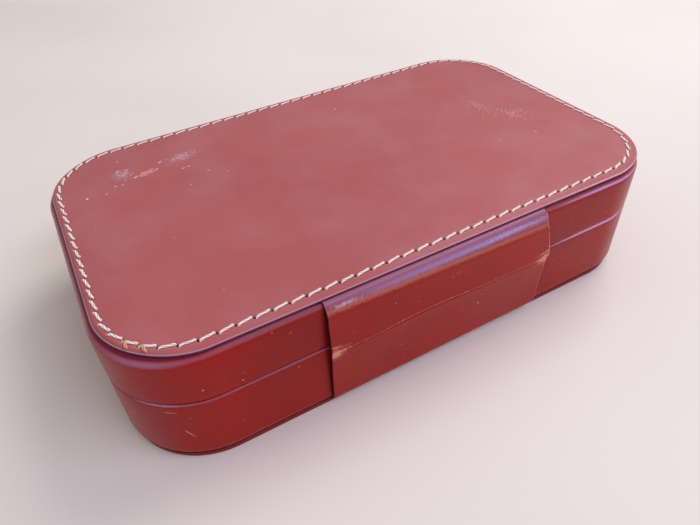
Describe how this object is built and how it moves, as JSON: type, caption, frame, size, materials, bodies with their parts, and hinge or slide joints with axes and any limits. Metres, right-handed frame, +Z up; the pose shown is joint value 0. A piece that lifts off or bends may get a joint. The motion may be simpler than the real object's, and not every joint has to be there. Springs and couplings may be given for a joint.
{
  "type": "glasses organizer",
  "caption": "Hard leather case with a hinged lid, divided inside to keep several pairs of glasses side by side.",
  "frame": {"origin": "centre of the resting face, under the middle of the case body", "axes": "+Z up; +Y towards the hinge side; X along the length of the case"},
  "size_m": [0.266, 0.1628, 0.0619],
  "materials": {
    "side_leather": "smooth box calf, satin",
    "panel_leather": "smooth box calf, satin, scuffed",
    "cover_leather": "smooth box calf, satin, creased",
    "bent_beech": "sawn and bent",
    "filler_card": "plain",
    "linen_thread": "waxed linen, hand laid",
    "suede_lining": "suede on card",
    "suede_pad": "suede over felt",
    "brass": "drawn, dull"
  },
  "bodies": {
    "base": {"bottom_panel": "panel_leather", "base_infill": "filler_card", "base_side_leather": "side_leather", "base_frame": "bent_beech", "base_floor_board": "bent_beech", "base_lining": "suede_lining", "divider_1": "suede_lining", "divider_2": "suede_lining", "divider_3": "suede_lining", "floor_pad_1": "suede_pad", "floor_pad_2": "suede_pad", "floor_pad_3": "suede_pad", "floor_pad_4": "suede_pad", "hinge_leaf_base": "brass", "hinge_pin": "brass", "hinge_screws_base": "brass", "hinge_cover_base": "cover_leather"},
    "lid": {"lid_frame": "bent_beech", "lid_top_board": "bent_beech", "lid_side_leather": "side_leather", "lid_infill": "filler_card", "top_panel": "panel_leather", "top_stitching": "linen_thread", "lid_lining": "suede_lining", "lid_pad": "suede_pad", "hinge_leaf_lid": "brass", "hinge_screws_lid": "brass", "hinge_cover_lid": "cover_leather"}
  },
  "joints": [
    {"name": "lid_hinge", "type": "hinge", "parent": "base", "child": "lid", "pos_m": [0, 0.08085, 0.0356], "axis": [-1, 0, 0], "range_deg": [0, 110]}
  ]
}
